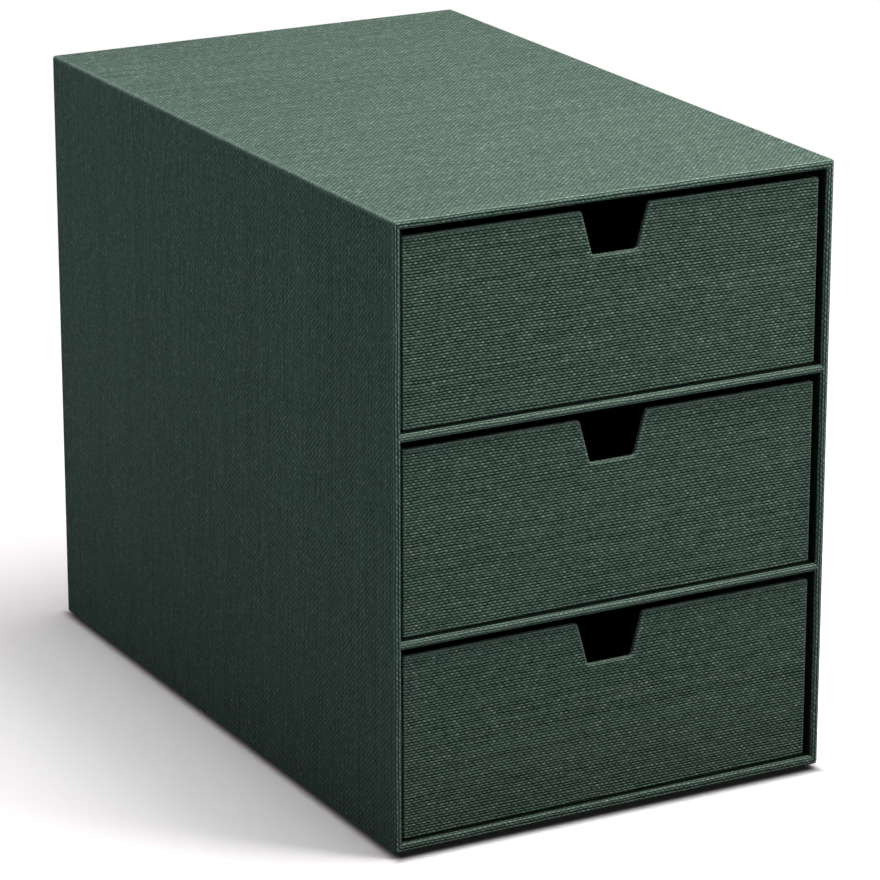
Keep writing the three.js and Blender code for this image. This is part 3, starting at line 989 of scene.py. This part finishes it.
def shader_mix(share, first, second):
    """A mix of two shaders."""
    return new_node(share.tree, "ShaderNodeMixShader", (share, first, second)).outputs[0]


print("the background shows to rays with", SEEN_BY)

# %% Floor
FLOOR_HALF = 6.0
FLOOR_RETURN = (14.4, 12.7, 13.2)
FADE_FROM, FADE_TO = 0.45, 1.2
UNDER_GLOW = 0.006
FLOOR_GLOW = 0.222
FLOOR_GLOW_COLOUR = (0.80, 1.0, 1.0)
GLOW_FROM, GLOW_TO = 0.2, 0.4
# Ramps of the painted contact shadow on the floor, out from the case's walls.
CONTACT_BESIDE = (-5.2 * MM, 4.0 * MM)
CONTACT_BEFORE = (-1.6 * MM, 8.4 * MM)
CONTACT_SHADE = 0.03
NEAR_BESIDE = (-10 * MM, 30 * MM)
NEAR_SHADE = 0.85

floor_material, tree, unused = new_material("white_floor")
tree.nodes.remove(unused)
x, y, _ = object_coordinates(tree)
distance = (x * x + y * y).do("SQRT")
out_beside = x.do("ABSOLUTE") - case_half[0]
# Painted contact shadow: the floor's colour darkens close to the case, and more slowly at the sides.
painted_shadow_beside = out_beside.ramp(*CONTACT_BESIDE, CONTACT_SHADE) * out_beside.ramp(*NEAR_BESIDE, NEAR_SHADE)
before = (y.do("ABSOLUTE") - case_half[1]).ramp(*CONTACT_BEFORE, CONTACT_SHADE)
returned = mixed(painted_shadow_beside.do("MAXIMUM", before), BLACK, FLOOR_RETURN)
shown = shader_mix(
    distance.ramp(FADE_FROM, FADE_TO, UNDER_GLOW),
    new_node(tree, "ShaderNodeBsdfDiffuse", {"Color": returned}).outputs[0],
    shader_node(tree, "ShaderNodeEmission", WHITE, 1.0))
glow = shader_node(
    tree, "ShaderNodeEmission", FLOOR_GLOW_COLOUR, distance.ramp(GLOW_FROM, GLOW_TO, 0.0, FLOOR_GLOW))
feed(tree, tree.nodes["Material Output"], (shader_mix(seen(tree), glow, shown),))
floor_material.cycles.emission_sampling = "NONE"

floor_mesh = bpy.data.meshes.new("floor")
corners = FLOOR_HALF * np.array([(-1, -1, 0), (1, -1, 0), (1, 1, 0), (-1, 1, 0)])
floor_mesh.from_pydata(corners.tolist(), [], [(0, 1, 2, 3)])
floor_mesh.materials.append(floor_material)
floor = bpy.data.objects.new("floor", floor_mesh)
bpy.context.scene.collection.objects.link(floor)
print("floor", 2 * FLOOR_HALF, "m across")

# %% [markdown]
# ## Light
# The shadow tells where the light is. It lies to the left and behind, it is darkest at the wall and
# fades over ten centimetres, and its front edge leaves the front corner at 45 degrees. That is one
# long soft lamp, high up on the right and a little in front. The lamp's direction and size were
# fitted to the shadow. The front is only grazed by it, which is why the weave stands out there most,
# and a weaker lamp further in front helps it. A faint, bluish one from the left and behind lights the
# side in shadow. The sky is dim. The floor returns more than it gets, so it has a lamp of its own in
# the main lamp's direction, with a little less red, and light linking says which lamp lights what.

# %% Lamps
LAMP_PLACE = (0.558, -0.449, 1.5)
FRONT_LAMP_PLACE = (0.45, -1.0, 1.2)
SIDE_LAMP_PLACE = (-0.8, 0.5, 1.2)
LAMP_SIZE = (0.375, 1.34)
LAMP_TURN = math.radians(40)
LAMP_POWER = 20.5
FRONT_LAMP_POWER = 5.3
SIDE_LAMP_POWER = 1.95
FLOOR_LAMP_POWER = 27.0
FLOOR_LAMP_FURTHER = 4.0
LAMP_COLOUR = (1.08, 1.0, 0.96)
SIDE_LAMP_COLOUR = (0.8, 1.0, 1.1)
FLOOR_LAMP_COLOUR = (0.93, 1.04, 1.0)

floor_only = bpy.data.collections.new("lit_floor")
floor_only.objects.link(floor)
all_but_floor = bpy.data.collections.new("not_lit_floor")
all_but_floor.objects.link(floor)
all_but_floor.collection_objects[0].light_linking.link_state = "EXCLUDE"
for name, lamp_place, further, power, colour, lit in (
        ("lamp", LAMP_PLACE, 1.0, LAMP_POWER, LAMP_COLOUR, all_but_floor),
        ("front_lamp", FRONT_LAMP_PLACE, 1.0, FRONT_LAMP_POWER, LAMP_COLOUR, all_but_floor),
        ("side_lamp", SIDE_LAMP_PLACE, 1.0, SIDE_LAMP_POWER, SIDE_LAMP_COLOUR, all_but_floor),
        ("floor_lamp", LAMP_PLACE, FLOOR_LAMP_FURTHER, FLOOR_LAMP_POWER, FLOOR_LAMP_COLOUR, floor_only)):
    lamp = bpy.data.objects.new(name, bpy.data.lights.new(name, "AREA"))
    bpy.context.scene.collection.objects.link(lamp)
    place = Matrix.Translation(Vector(lamp_place) * further)
    lamp.matrix_world = place @ Matrix.Rotation(LAMP_TURN, 4, "Z")
    lamp.data.shape = "RECTANGLE"
    lamp.data.size, lamp.data.size_y = (further * size for size in LAMP_SIZE)
    lamp.data.energy = power
    lamp.data.color = colour
    lamp.light_linking.receiver_collection = lit
    print(name, power, "W")

# %% Sky
SKY_STRENGTH = 0.044

world = bpy.data.worlds.new("sky")
bpy.context.scene.world = world
world.use_nodes = True
tree = world.node_tree
tree.nodes.clear()
sky = shader_node(tree, "ShaderNodeBackground", WHITE, SKY_STRENGTH)
white = shader_node(tree, "ShaderNodeBackground", WHITE, 1.0)
new_node(tree, "ShaderNodeOutputWorld", (shader_mix(seen(tree), sky, white),))
bpy.context.scene.view_settings.view_transform = "Standard"
print("sky", SKY_STRENGTH)
